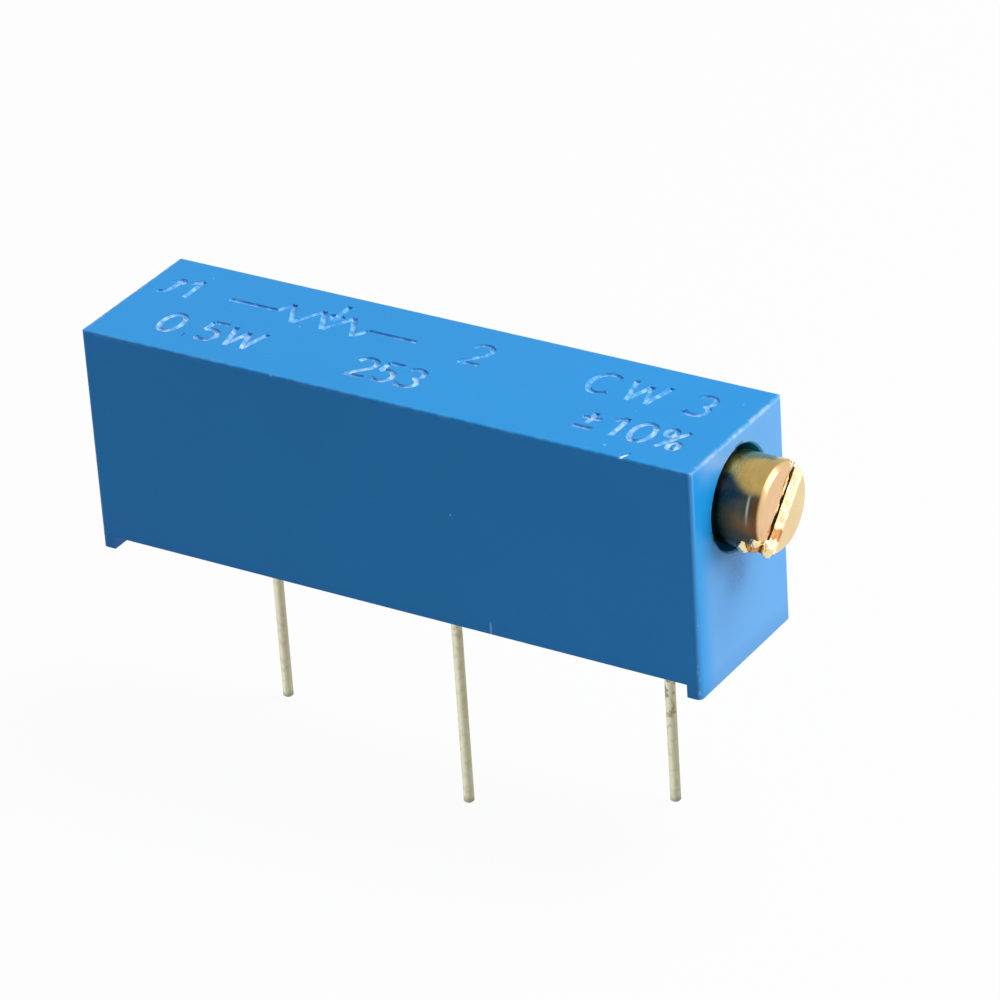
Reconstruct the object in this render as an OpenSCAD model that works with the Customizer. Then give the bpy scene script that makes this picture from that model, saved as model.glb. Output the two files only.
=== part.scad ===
// Multiturn trimmer potentiometer.
// A slotted lead screw draws a wiper carriage along a printed resistance track, inside
// a moulded housing that is sealed from below with resin and stands on a circuit board.
// Origin: the axis of pin 1, in the plane of the board that the feet rest on.
// +X runs along the body towards the screw head and +Z points away from the board.

/* [Housing] */
// Length of the housing
body_l = 19.05; // [18.8:0.05:24]
// Width of the housing
body_w = 4.83; // [4.5:0.01:6]
// Height of the housing, from the rim of its side walls to its top
body_h = 6.35; // [6.25:0.05:8]
// Height of the feet under the rim
foot_h = 0.38; // [0.2:0.02:1]
// Thickness of each foot along the body
foot_t = 0.42; // [0.3:0.02:0.5]
// Radius of the upright edges
edge_r = 0.15; // [0.05:0.01:0.3]
// Radius of the top edges
top_r = 0.08; // [0.02:0.01:0.2]
// Thickness of the end walls beside the substrate
end_skirt_t = 0.45; // [0.35:0.01:0.5]
// Width of the ledge along each side wall that the substrate seats against
ledge_w = 0.25; // [0.15:0.01:0.35]
// Thickness of the top wall
roof_t = 0.70; // [0.5:0.01:0.8]
// Thickness of the end wall that holds the tail of the screw
end_t = 0.85; // [0.75:0.01:1]
// Thickness of the end block that holds the head of the screw
block_t = 1.95; // [1.85:0.01:2.2]
// Chamfer round the mouth of the screw bore
mouth_chamfer = 0.05; // [0.02:0.01:0.1]

/* [Pins] */
// Distance from pin 1 to pin 3 along the body
pin_span = 12.70; // [12:0.01:13]
// Distance from pin 1 to pin 2 along the body
pin_1_to_2 = 7.62; // [5:0.01:9]
// Distance between the row of pins 1 and 3 and the row of pin 2
row_pitch = 2.54; // [2.5:0.01:2.6]
// Diameter of the pin wire
pin_d = 0.30; // [0.2:0.01:0.4]
// Length of the pins below the board plane
pin_reach = 6.00; // [3:0.1:9]
// Chamfer at the tip of each pin
pin_chamfer = 0.04; // [0.02:0.01:0.08]
// Side of the square shank that keys each pin in the resin and seats under the substrate
shank_w = 0.54; // [0.46:0.01:0.8]
// Height of the pin's end above the substrate
pin_stub_h = 0.20; // [0.15:0.01:0.3]

/* [Element] */
// Thickness of the alumina substrate
substrate_t = 0.60; // [0.4:0.01:0.8]
// Thickness of the printed films
film_t = 0.03; // [0.01:0.01:0.05]
// Width of the resistance track
track_w = 0.80; // [0.6:0.01:0.85]
// Width of the collector track
collector_w = 0.80; // [0.6:0.01:0.85]
// Clear space between the two tracks
track_gap = 0.30; // [0.2:0.01:0.4]
// Length of bare track between the end pads, as a margin past the wiper's travel
track_margin = 0.32; // [0.3:0.01:0.45]
// Clear print round each pin on its pad
pad_rim = 0.22; // [0.2:0.01:0.3]
// Bare margin between the pads and the side walls
pad_margin = 0.075; // [0.03:0.005:0.1]
// Radius of the solder joint round each pin
solder_r = 0.33; // [0.28:0.01:0.35]
// Height of the solder joint
solder_h = 0.16; // [0.1:0.01:0.17]
// Thickness of the solder at its rim
solder_rim_t = 0.02; // [0.01:0.01:0.04]

/* [Resin] */
// Thickness of the resin under the substrate
resin_t = 0.77; // [0.55:0.01:1]
// Depth of the resin's surface inside the rim
resin_recess = 0.10; // [0.05:0.01:0.3]

/* [Adjusting screw] */
// Depth of the screw's axis below the top of the housing
axis_drop = 1.88; // [1.8:0.01:2]
// Diameter of the head
head_d = 2.54; // [2:0.01:2.7]
// Length of head outside the housing
head_proud = 1.30; // [0.8:0.05:2.5]
// Length of head inside the bore
head_sink = 0.14; // [0.05:0.01:0.14]
// Diameter of the neck behind the head
head_neck_d = 2.20; // [1.8:0.01:2.22]
// Length of that neck
head_neck_l = 0.31; // [0.2:0.01:0.35]
// Chamfer round the face of the head
head_chamfer = 0.12; // [0.02:0.01:0.15]
// Width of the driver slot
slot_w = 0.70; // [0.3:0.01:1.0]
// Depth of the driver slot
slot_depth = 0.74; // [0.5:0.01:1.2]
// Turn of the driver slot from level, at mid travel
slot_angle = 44; // [-90:1:90]
// Diameter of the bore for the head
bore_d = 2.90; // [2.8:0.01:3.1]
// Diameter of the seal groove
seal_groove_d = 1.30; // [1.1:0.01:1.5]
// Width of the seal groove
seal_groove_w = 0.85; // [0.83:0.01:0.95]
// Diameter of the groove that the retaining clip straddles
clip_groove_d = 1.20; // [1:0.01:1.4]
// Length of the plain shoulder behind the clip
shoulder_l = 0.40; // [0.3:0.01:0.6]
// Diameter of the tail journal
tail_d = 0.90; // [0.7:0.01:1.1]
// Length of the tail journal inside the end wall
tail_l = 0.42; // [0.3:0.01:0.45]
// Gap between the threaded rod and the end wall
rod_gap = 0.15; // [0.1:0.01:0.3]

/* [Thread] */
// Travel of the thread in one turn
pitch = 0.70; // [0.65:0.01:0.71]
// Outer diameter of the thread
thread_d = 1.90; // [1.7:0.01:2]
// Depth of the thread
thread_depth = 0.28; // [0.2:0.01:0.32]
// Width of the thread's crest
crest_w = 0.20; // [0.16:0.01:0.24]
// Width of the thread's root
root_w = 0.26; // [0.22:0.01:0.3]
// Turns of the screw over the whole travel
travel_turns = 15; // [10:1:15]

/* [Carriage] */
// Length of the carriage
carriage_l = 4.40; // [4.2:0.05:4.6]
// Height of the carriage's cheeks above the screw's axis
cheek_rise = 0.55; // [0.3:0.01:0.8]
// Clear height between the substrate and the carriage
wiper_room = 0.75; // [0.65:0.01:0.85]
// Number of teeth in the thread
tooth_count = 3; // [1:2:5]
// Length of each tooth across the body
tooth_l = 0.76; // [0.5:0.01:0.9]
// Chamfer along the carriage's lower edges
carriage_chamfer = 0.25; // [0.1:0.01:0.35]
// Depth of the hollow that the wiper's fingers spring into
finger_relief = 0.30; // [0.1:0.01:0.4]

/* [Wiper] */
// Thickness of the wiper's sheet
wiper_t = 0.10; // [0.06:0.01:0.12]
// Length of the wiper's base plate
wiper_base_l = 0.95; // [0.85:0.01:1]
// Width of the base plate
wiper_base_w = 2.20; // [2:0.01:2.6]
// Fingers on each track
fingers_per_track = 3; // [1:1:4]
// Width of the slit between two fingers
finger_slit = 0.08; // [0.05:0.01:0.1]
// Distance from each edge of a track to the nearest finger
finger_inset = 0.12; // [0.08:0.01:0.16]
// Distance from the base plate's bend to the contact point
finger_run = 1.75; // [1.6:0.01:1.9]
// Radius of the curled tip
tip_r = 0.28; // [0.2:0.01:0.32]
// Angle that the tip curls up past the contact point
tip_curl = 70; // [45:1:90]
// Diameter of the posts that stake the wiper to the carriage
post_d = 0.36; // [0.3:0.01:0.42]
// Diameter of each post's melted head
post_head_d = 0.60; // [0.5:0.01:0.7]
// Thickness of each melted head
post_head_t = 0.12; // [0.08:0.01:0.14]
// Distance between the two posts
post_pitch = 1.40; // [1.2:0.01:1.5]

/* [Retaining clip] */
// Thickness of the clip
clip_t = 0.30; // [0.26:0.01:0.32]
// Depth of the groove in each side wall that holds the clip
wall_groove = 0.23; // [0.15:0.01:0.25]
// Height of the clip's legs above the screw's axis
clip_rise = 0.95; // [0.7:0.01:1]
// Height of the clip's foot above the substrate, clear of pin 3 and its solder
clip_lift = 0.35; // [0.3:0.01:0.6]

/* [Fits] */
// Radial play of the screw in its bores
journal_play = 0.05; // [0.02:0.01:0.09]
// Gap between the seal and the metal or plastic round it
seal_gap = 0.02; // [0.01:0.01:0.04]
// Play of the clip in the grooves of the side walls
clip_play = 0.02; // [0.01:0.01:0.03]
// End play of the screw against each face of the clip
end_play = 0.05; // [0.03:0.01:0.07]
// Gap between the tail of the screw and the bottom of its bore
tail_gap = 0.08; // [0.05:0.01:0.1]
// Side play of the carriage in its chamber
carriage_play = 0.10; // [0.06:0.01:0.14]
// Gap between the thread's crest and the carriage's channel
channel_gap = 0.08; // [0.05:0.01:0.12]
// Gap between the thread and the flanks and tips of the teeth
tooth_play = 0.04; // [0.03:0.01:0.06]
// Gap between the wiper's tips and the tracks
contact_gap = 0.01; // [0.01:0.01:0.03]
// Gap round the substrate and the pins where resin or solder wets them
bond_gap = 0.01; // [0.01:0.01:0.03]

/* [Hidden] */
$fn = 64;
cut = 1;
overlap = 0.05;

// Body, with pin 1 at the origin and the three pins centred in the length and the width
x0 = (pin_span - body_l) / 2;
x1 = x0 + body_l;
mid_y = -row_pitch / 2;
y0 = mid_y - body_w / 2;
y1 = y0 + body_w;
top_z = foot_h + body_h;
pin_places = [[0, 0], [pin_1_to_2, -row_pitch], [pin_span, 0]];

// Across the body: the chamber clears the pads, and the pocket under it holds the substrate
pad_r = pin_d / 2 + pad_rim;
chamber_w = row_pitch + 2 * (pad_r + pad_margin);
pocket_w = chamber_w + 2 * ledge_w;

// Stack from the board upwards
resin_z = foot_h + resin_recess;
substrate_z = resin_z + resin_t;
ledge_z = substrate_z + substrate_t;
track_z = ledge_z + film_t;
carriage_z = ledge_z + wiper_room;
ceiling_z = top_z - roof_t;
axis_z = top_z - axis_drop;

// Screw, from the face of the head inwards
head_x = x1 + head_proud;
neck_x = x1 - head_sink;
groove_x = neck_x - head_neck_l;
seal_x = groove_x - seal_groove_w;
collar_d = bore_d - 2 * journal_play;
block_x = x1 - block_t;
clip_x = block_x - clip_play - clip_t;
shoulder_x = clip_x - end_play - shoulder_l;
chamber_x = x0 + end_t;
rod_x = chamber_x + rod_gap;
tail_x = chamber_x - tail_l;
thread_r = thread_d / 2;
root_r = thread_r - thread_depth;
flank_w = (pitch - crest_w - root_w) / 2;

// Carriage at mid travel, half way between the end wall and the clip
travel = pitch * travel_turns;
carriage_x = (chamber_x + clip_x) / 2;
carriage_w = chamber_w - 2 * carriage_play;
channel_r = thread_r + channel_gap;

// Printed films
track_x = pin_span / 2;
track_l = travel + 2 * track_margin;
track_y = mid_y + track_gap / 2;
collector_y = mid_y - track_gap / 2 - collector_w;

// Thread, as a helix cut in steps round each turn
thread_steps = 20;
fade_steps = thread_steps / 2;
turns_left = floor((carriage_x - rod_x) / pitch) - 1;
turns_right = floor((shoulder_x - carriage_x) / pitch) - 1;
thread_x = carriage_x - turns_left * pitch;
section_count = (turns_left + turns_right) * thread_steps;
rod_end_x = shoulder_x + overlap;

// ---- Housing ----

// Rectangle with round upper corners, its lower left corner at the origin
module round_top(w, h, r) {
    square([w, h - r]);
    translate([r, 0])
        square([w - 2 * r, h]);
    for (x = [r, w - r])
        translate([x, h - r])
            circle(r);
}

// Rectangle with four round corners, its lower left corner at the origin
module round_rect(w, h, r) {
    translate([0, r])
        round_top(w, h - r, r);
    translate([r, 0])
        square([w - 2 * r, r]);
    for (x = [r, w - r])
        translate([x, r])
            circle(r);
}

// Side view of the housing, with the gap between its feet
module side_view() {
    difference() {
        round_top(body_l, top_z, top_r);
        translate([foot_t, -cut])
            square([body_l - 2 * foot_t, cut + foot_h]);
    }
}

module housing_form() {
    intersection() {
        translate([x0, y0, 0])
            linear_extrude(top_z)
                round_rect(body_l, body_w, edge_r);
        translate([x0, y1, 0])
            rotate([90, 0, 0])
                linear_extrude(body_w)
                    side_view();
        translate([x0, y0, 0])
            rotate([90, 0, 90])
                linear_extrude(body_l)
                    round_top(body_w, top_z, top_r);
    }
}

// Box between two x values, centred on the width
module mid_box(xa, xb, w, za, zb) {
    translate([xa, mid_y - w / 2, za])
        cube([xb - xa, w, zb - za]);
}

// Cylinder on the screw's axis, between two x values
module axial(d, xa, xb) {
    translate([xa, mid_y, axis_z])
        rotate([0, 90, 0])
            cylinder(d = d, h = xb - xa);
}

module screw_bore() {
    axial(bore_d, block_x - cut, x1 + cut);
    translate([x1 - mouth_chamfer, mid_y, axis_z])
        rotate([0, 90, 0])
            cylinder(d1 = bore_d, d2 = bore_d + 4 * mouth_chamfer, h = 2 * mouth_chamfer);
}

module housing() {
    color([0.12, 0.40, 0.66])
        difference() {
            housing_form();
            mid_box(x0 + end_skirt_t, x1 - end_skirt_t, pocket_w, -cut, ledge_z);
            mid_box(chamber_x, block_x, chamber_w, foot_h, ceiling_z);
            mid_box(
                min(chamber_x, -pad_r - pad_margin), max(block_x, pin_span + pad_r + pad_margin),
                chamber_w, foot_h, ledge_z + clip_lift
            );
            mid_box(
                clip_x - clip_play, block_x, chamber_w + 2 * wall_groove,
                foot_h, axis_z + clip_rise
            );
            screw_bore();
            axial(tail_d + 2 * journal_play, tail_x - tail_gap, chamber_x + cut);
        }
}

// ---- Resin, substrate and printed films ----

// Square bar that stands on the origin
module shank(w, h) {
    translate([-w / 2, -w / 2, 0])
        cube([w, w, h]);
}

module potting_resin() {
    color([0.10, 0.34, 0.58])
        difference() {
            mid_box(x0 + end_skirt_t, x1 - end_skirt_t, pocket_w, resin_z, substrate_z);
            for (place = pin_places)
                translate([place.x, place.y, resin_z - cut])
                    shank(shank_w + 2 * bond_gap, resin_t + 2 * cut);
        }
}

module element_substrate() {
    color([0.93, 0.92, 0.88])
        difference() {
            mid_box(
                x0 + end_skirt_t + bond_gap, x1 - end_skirt_t - bond_gap,
                pocket_w - 2 * bond_gap, substrate_z, ledge_z
            );
            for (place = pin_places)
                translate([place.x, place.y, substrate_z - cut])
                    cylinder(r = pin_d / 2 + bond_gap, h = substrate_t + 2 * cut);
        }
}

module film(x, y, l, w) {
    translate([x, y, ledge_z])
        cube([l, w, film_t]);
}

module resistive_track() {
    color([0.16, 0.15, 0.16])
        film(track_x - track_l / 2, track_y, track_l, track_w);
}

// Clearance for the pin through a printed pad
module pad_hole(n) {
    translate([pin_places[n].x, pin_places[n].y, ledge_z - cut])
        cylinder(r = pin_d / 2 + bond_gap, h = film_t + 2 * cut);
}

module collector_track() {
    color([0.78, 0.77, 0.74])
        difference() {
            union() {
                film(track_x - track_l / 2, collector_y, track_l, collector_w);
                film(pin_1_to_2 - pad_r, -row_pitch - pad_r, 2 * pad_r, collector_y + row_pitch + pad_r);
            }
            pad_hole(1);
        }
}

// Pad from one end of the resistance track to its pin
module end_pad(n, xa, xb) {
    color([0.78, 0.77, 0.74])
        difference() {
            film(xa, track_y, xb - xa, pad_r - track_y);
            pad_hole(n);
        }
}

module end_pad_1() {
    end_pad(0, -pad_r, track_x - track_l / 2);
}

module end_pad_3() {
    end_pad(2, track_x + track_l / 2, pin_span + pad_r);
}

// ---- Pins ----

// Round wire with a chamfered tip and a square shank that seats under the substrate
module pin(n) {
    wire_top = ledge_z + pin_stub_h;
    color([0.80, 0.79, 0.74])
        translate([pin_places[n].x, pin_places[n].y, 0]) {
            rotate_extrude()
                polygon([
                    [0, -pin_reach],
                    [pin_d / 2 - pin_chamfer, -pin_reach],
                    [pin_d / 2, -pin_reach + pin_chamfer],
                    [pin_d / 2, wire_top],
                    [0, wire_top]
                ]);
            translate([0, 0, resin_z])
                shank(shank_w, resin_t);
        }
}

module pin_1() {
    pin(0);
}

module pin_2() {
    pin(1);
}

module pin_3() {
    pin(2);
}

// Fillet of solder on the pad, hollowed towards its rim
module solder_joint(n) {
    inner_r = pin_d / 2 + bond_gap;
    reach = solder_r - inner_r;
    color([0.86, 0.86, 0.87])
        translate([pin_places[n].x, pin_places[n].y, track_z])
            rotate_extrude()
                translate([inner_r, 0])
                    difference() {
                        square([reach, solder_h]);
                        translate([reach, solder_h])
                            circle(solder_h - solder_rim_t);
                    }
}

module solder_joint_1() {
    solder_joint(0);
}

module solder_joint_2() {
    solder_joint(1);
}

module solder_joint_3() {
    solder_joint(2);
}

// ---- Adjusting screw, seal and clip ----

// Turned outline of the screw from its face to the shoulder, as radius and x
module turned_end() {
    translate([0, mid_y, axis_z])
        rotate([0, 90, 0])
            rotate_extrude()
                polygon([
                    [0, head_x],
                    [head_d / 2 - head_chamfer, head_x],
                    [head_d / 2, head_x - head_chamfer],
                    [head_d / 2, neck_x],
                    [head_neck_d / 2, neck_x],
                    [head_neck_d / 2, groove_x],
                    [seal_groove_d / 2, groove_x],
                    [seal_groove_d / 2, seal_x],
                    [collar_d / 2, seal_x],
                    [collar_d / 2, clip_x + clip_t + end_play],
                    [clip_groove_d / 2, clip_x + clip_t + end_play],
                    [clip_groove_d / 2, clip_x - end_play],
                    [thread_r, clip_x - end_play],
                    [thread_r, shoulder_x],
                    [0, shoulder_x]
                ]);
}

// One vertex at a step of the helix: angle 0 points down, and turns as +X turns
function spoke(x, r, step) =
    let (a = 360 * step / thread_steps)
    [x, mid_y + r * sin(a), axis_z - r * cos(a)];

// The thread rises from the root over the first steps and sinks back over the last
function crest_r(step) =
    root_r + thread_depth * min(1, step / fade_steps, (section_count - step) / fade_steps);

// Four points of one thread section: foot, crest, crest, foot
function thread_section(step) =
    let (x = thread_x + pitch * step / thread_steps + root_w / 2)
    [
        spoke(x, root_r, step),
        spoke(x + flank_w, crest_r(step), step),
        spoke(x + flank_w + crest_w, crest_r(step), step),
        spoke(x + 2 * flank_w + crest_w, root_r, step)
    ];

// Rod with a helical thread between two flat ends, as one closed surface
module threaded_rod() {
    n = thread_steps;
    m = section_count;
    left = 4 * (m + 1);
    right = left + n;
    points = concat(
        [for (i = [0:m]) each thread_section(i)],
        [for (i = [0:n - 1]) spoke(rod_x, root_r, i)],
        [for (i = [0:n - 1]) spoke(rod_end_x, root_r, i)]
    );
    ridge = [
        for (i = [0:m - 1], k = [0:2])
            each [
                [4 * i + k, 4 * i + k + 1, 4 * i + k + 5],
                [4 * i + k, 4 * i + k + 5, 4 * i + k + 4]
            ]
    ];
    root = [for (i = [0:m - n - 1]) [4 * i + 3, 4 * (i + n), 4 * (i + n + 1), 4 * i + 7]];
    start = concat(
        [for (i = [0:n - 2]) [left + i, 4 * i, 4 * i + 4, left + i + 1]],
        [[left + n - 1, 4 * (n - 1), 4 * n, 3, 2, 1, 0, left]]
    );
    last = m - n;
    end = concat(
        [[4 * last + 7, 4 * last + 3, 4 * m, 4 * m + 1, 4 * m + 2, 4 * m + 3, right, right + 1]],
        [for (i = [1:n - 1]) [4 * (last + i) + 3, right + i, right + (i + 1) % n, 4 * (last + i) + 7]]
    );
    caps = [
        [for (i = [0:n - 1]) left + i],
        [for (i = [0:n - 1]) right + n - 1 - i]
    ];
    polyhedron(points, concat(ridge, root, start, end, caps), convexity = 10);
}

module adjusting_screw() {
    color([0.80, 0.64, 0.36]) {
        difference() {
            turned_end();
            translate([head_x, mid_y, axis_z])
                rotate([slot_angle, 0, 0])
                    translate([-slot_depth, -head_d, -slot_w / 2])
                        cube([slot_depth + cut, 2 * head_d, slot_w]);
        }
        threaded_rod();
        axial(tail_d, tail_x, rod_x + overlap);
    }
}

module seal_ring() {
    cord_d = (bore_d - seal_groove_d) / 2 - 2 * seal_gap;
    color([0.10, 0.10, 0.10])
        translate([seal_x + seal_groove_w / 2, mid_y, axis_z])
            rotate([0, 90, 0])
                rotate_extrude()
                    translate([(bore_d + seal_groove_d) / 4, 0])
                        circle(d = cord_d);
}

// Flat fork that straddles the screw and stands in the grooves of the side walls
module retaining_clip() {
    fork_w = chamber_w + 2 * (wall_groove - clip_play);
    fork_z = ledge_z + clip_lift;
    fork_h = axis_z + clip_rise - fork_z;
    slot_d = clip_groove_d + 2 * journal_play;
    color([0.70, 0.71, 0.73])
        translate([clip_x, mid_y, fork_z])
            rotate([90, 0, 90])
                linear_extrude(clip_t)
                    difference() {
                        translate([-fork_w / 2, 0])
                            square([fork_w, fork_h]);
                        translate([0, axis_z - fork_z])
                            circle(d = slot_d);
                        translate([-slot_d / 2, axis_z - fork_z])
                            square([slot_d, clip_rise + cut]);
                    }
}

// ---- Carriage and wiper ----

contact_x = track_x;
bend_x = contact_x - finger_run;
wiper_z = carriage_z - wiper_t;
post_x = bend_x - wiper_base_l / 2;

// Section of the carriage across the body, with the open channel for the screw
module carriage_section() {
    w = carriage_w;
    c = carriage_chamfer;
    top = axis_z + cheek_rise;
    difference() {
        polygon([
            [-w / 2 + c, carriage_z],
            [w / 2 - c, carriage_z],
            [w / 2, carriage_z + c],
            [w / 2, top],
            [-w / 2, top],
            [-w / 2, carriage_z + c]
        ]);
        translate([0, axis_z])
            circle(channel_r);
        translate([-channel_r, axis_z])
            square([2 * channel_r, cheek_rise + cut]);
    }
}

// Tooth that lies in the thread's groove, slanted as the helix is below the axis
module tooth() {
    tip_z = axis_z - root_r - tooth_play;
    base_z = axis_z - channel_r - overlap;
    slope = flank_w / thread_depth;
    tip_w = root_w - 2 * tooth_play + 2 * slope * tooth_play;
    base_w = tip_w + 2 * slope * (tip_z - base_z);
    slant = atan(pitch / (2 * PI * (thread_r + root_r) / 2));
    rotate([0, 0, -slant])
        translate([0, tooth_l / 2, 0])
            rotate([90, 0, 0])
                linear_extrude(tooth_l)
                    polygon([
                        [-base_w / 2, base_z],
                        [base_w / 2, base_z],
                        [tip_w / 2, tip_z],
                        [-tip_w / 2, tip_z]
                    ]);
}

module carriage() {
    relief_w = 2 * (track_gap / 2 + max(track_w, collector_w));
    color([0.16, 0.16, 0.17]) {
        difference() {
            translate([carriage_x - carriage_l / 2, mid_y, 0])
                rotate([90, 0, 90])
                    linear_extrude(carriage_l)
                        carriage_section();
            mid_box(
                bend_x, contact_x + tip_r + 2 * overlap, relief_w,
                carriage_z - cut, carriage_z + finger_relief
            );
        }
        for (i = [0:tooth_count - 1])
            translate([carriage_x + (i - (tooth_count - 1) / 2) * pitch, mid_y, 0])
                tooth();
        for (side = [-1, 1])
            translate([post_x, mid_y + side * post_pitch / 2, 0]) {
                translate([0, 0, wiper_z - overlap])
                    cylinder(d = post_d, h = wiper_t + 2 * overlap);
                translate([0, 0, wiper_z - post_head_t])
                    cylinder(d = post_head_d, h = post_head_t);
            }
    }
}

// Side view of one finger: a sloping blade, tangent to a curl that rides on the track
module finger_view() {
    hub = [contact_x, track_z + contact_gap + tip_r];
    bend = [bend_x, wiper_z];
    gap = hub - bend;
    slope = atan2(-gap.y, gap.x) + asin(tip_r / norm(gap));
    side = [sin(slope), cos(slope)];
    touch = hub - tip_r * side;
    polygon([
        bend - [overlap, 0],
        bend,
        touch,
        touch + wiper_t * side,
        bend + wiper_t * [tan(slope / 2), 1],
        bend + [-overlap, wiper_t]
    ]);
    translate(hub)
        intersection() {
            difference() {
                circle(tip_r);
                circle(tip_r - wiper_t);
            }
            polygon([
                [0, 0],
                -2 * tip_r * side,
                [0, -2 * tip_r],
                2 * tip_r * [sin(tip_curl / 2), -cos(tip_curl / 2)],
                2 * tip_r * [sin(tip_curl), -cos(tip_curl)]
            ]);
        }
}

// Fingers side by side over one track
module finger_comb(y, w) {
    finger_w = (w - (fingers_per_track - 1) * finger_slit) / fingers_per_track;
    for (i = [0:fingers_per_track - 1])
        translate([0, y + finger_w + i * (finger_w + finger_slit), 0])
            rotate([90, 0, 0])
                linear_extrude(finger_w)
                    finger_view();
}

module wiper_contact() {
    color([0.85, 0.68, 0.38]) {
        difference() {
            mid_box(bend_x - wiper_base_l, bend_x, wiper_base_w, wiper_z, carriage_z);
            for (side = [-1, 1])
                translate([post_x, mid_y + side * post_pitch / 2, wiper_z - cut])
                    cylinder(r = post_d / 2 + bond_gap, h = wiper_t + 2 * cut);
        }
        finger_comb(track_y + finger_inset, track_w - 2 * finger_inset);
        finger_comb(collector_y + finger_inset, collector_w - 2 * finger_inset);
    }
}

housing();
potting_resin();
element_substrate();
resistive_track();
collector_track();
end_pad_1();
end_pad_3();
pin_1();
pin_2();
pin_3();
solder_joint_1();
solder_joint_2();
solder_joint_3();
adjusting_screw();
seal_ring();
retaining_clip();
carriage();
wiper_contact();
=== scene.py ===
import bpy
import math
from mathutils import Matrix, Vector


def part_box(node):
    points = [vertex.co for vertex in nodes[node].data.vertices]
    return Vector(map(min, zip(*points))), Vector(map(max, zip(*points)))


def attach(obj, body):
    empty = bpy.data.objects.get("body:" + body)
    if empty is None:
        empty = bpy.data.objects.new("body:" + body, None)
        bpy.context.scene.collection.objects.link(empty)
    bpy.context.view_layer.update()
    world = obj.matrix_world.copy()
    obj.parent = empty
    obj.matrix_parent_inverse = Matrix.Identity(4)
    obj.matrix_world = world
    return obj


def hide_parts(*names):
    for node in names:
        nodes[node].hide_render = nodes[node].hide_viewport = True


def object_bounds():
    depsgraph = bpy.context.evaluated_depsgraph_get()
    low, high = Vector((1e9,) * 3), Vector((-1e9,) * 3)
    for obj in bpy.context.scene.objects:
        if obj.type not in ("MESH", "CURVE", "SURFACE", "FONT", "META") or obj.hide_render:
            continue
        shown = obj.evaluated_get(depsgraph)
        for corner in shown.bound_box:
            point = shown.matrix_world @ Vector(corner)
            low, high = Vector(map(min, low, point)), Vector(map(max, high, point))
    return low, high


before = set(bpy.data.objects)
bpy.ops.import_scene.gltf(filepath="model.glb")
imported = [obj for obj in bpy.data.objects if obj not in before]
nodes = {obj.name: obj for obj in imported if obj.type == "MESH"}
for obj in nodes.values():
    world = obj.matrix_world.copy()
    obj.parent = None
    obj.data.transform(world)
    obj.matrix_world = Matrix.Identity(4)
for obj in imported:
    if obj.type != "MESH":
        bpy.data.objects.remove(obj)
cad_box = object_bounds()
bpy.ops.object.select_all(action="DESELECT")

# ---- Camera ----
# A long lens, far off and above the right front corner, tipped a little to the left. It
# stands so far away that the parallel edges of the trimmer hardly draw together.

MM = 0.001
camera_place = Vector((78.902, -108.677, 73.916)) * MM
camera_turn = [math.radians(a) for a in (61.045, 3.364, 31.401)]
bpy.ops.object.camera_add(location=camera_place, rotation=camera_turn)
camera = bpy.context.object
camera.name = "camera"
camera.data.lens = 197.5
camera.data.sensor_width = 36.0
camera.data.clip_start = 0.005
camera.data.clip_end = 5.0
bpy.context.scene.camera = camera

# ---- Housing ----
# One moulding of satin blue thermoset with crisp, slightly rounded edges, two low feet and
# a round bore for the screw. The marks on its top are pressed in with a hot die, so each
# stroke is a round-bottomed groove. The front edge of the top is chipped in one place.

housing_low, housing_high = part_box("housing")
top_z = housing_high.z
mid_y = (housing_low.y + housing_high.y) / 2


def new_material(name):
    material = bpy.data.materials.new(name)
    material.use_nodes = True
    return material, material.node_tree, material.node_tree.nodes["Principled BSDF"]


def add_node(tree, kind, **settings):
    node = tree.nodes.new(kind)
    for key, value in settings.items():
        setattr(node, key, value)
    return node


def feed(tree, item, socket):
    """Sets a socket to a number or a colour, or links another socket to it."""
    if isinstance(item, (int, float)):
        socket.default_value = item
    elif isinstance(item, tuple):
        socket.default_value = (*item, 1.0)
    else:
        tree.links.new(item, socket)


def value_of(tree, operation, *items, clamp=False):
    node = add_node(tree, "ShaderNodeMath", operation=operation, use_clamp=clamp)
    for item, socket in zip(items, node.inputs):
        feed(tree, item, socket)
    return node.outputs[0]


def product(tree, first, *others):
    for other in others:
        first = value_of(tree, "MULTIPLY", first, other)
    return first


def span(tree, source, start, growth):
    """start where source is 0, and start + growth where it is 1."""
    return value_of(tree, "MULTIPLY_ADD", source, growth, start)


def distance(tree, source, spot):
    return value_of(tree, "ABSOLUTE", value_of(tree, "SUBTRACT", source, spot))


def mixed_colour(tree, factor, a, b):
    node = add_node(tree, "ShaderNodeMix", data_type="RGBA")
    # A Mix node has sockets for each kind of data, and the two for colours are numbers 6 and 7
    for item, number in ((factor, 0), (a, 6), (b, 7)):
        feed(tree, item, node.inputs[number])
    return node.outputs[2]


def ramp(tree, source, zero_at, one_at):
    node = add_node(tree, "ShaderNodeMapRange", clamp=True, interpolation_type="SMOOTHSTEP")
    for item, name in ((source, "Value"), (zero_at, "From Min"), (one_at, "From Max")):
        feed(tree, item, node.inputs[name])
    return node.outputs["Result"]


def bump(tree, height, depth, strength, normal=None):
    node = add_node(tree, "ShaderNodeBump")
    for item, name in ((height, "Height"), (depth, "Distance"), (strength, "Strength")):
        feed(tree, item, node.inputs[name])
    if normal is not None:
        feed(tree, normal, node.inputs["Normal"])
    return node.outputs["Normal"]


def noise(tree, place, scale, detail, seed=None):
    node = add_node(tree, "ShaderNodeTexNoise", noise_dimensions="3D" if seed is None else "4D")
    for item, name in ((place, "Vector"), (scale, "Scale"), (detail, "Detail")):
        feed(tree, item, node.inputs[name])
    if seed is not None:
        feed(tree, seed, node.inputs["W"])
    return node.outputs["Fac"]


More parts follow.
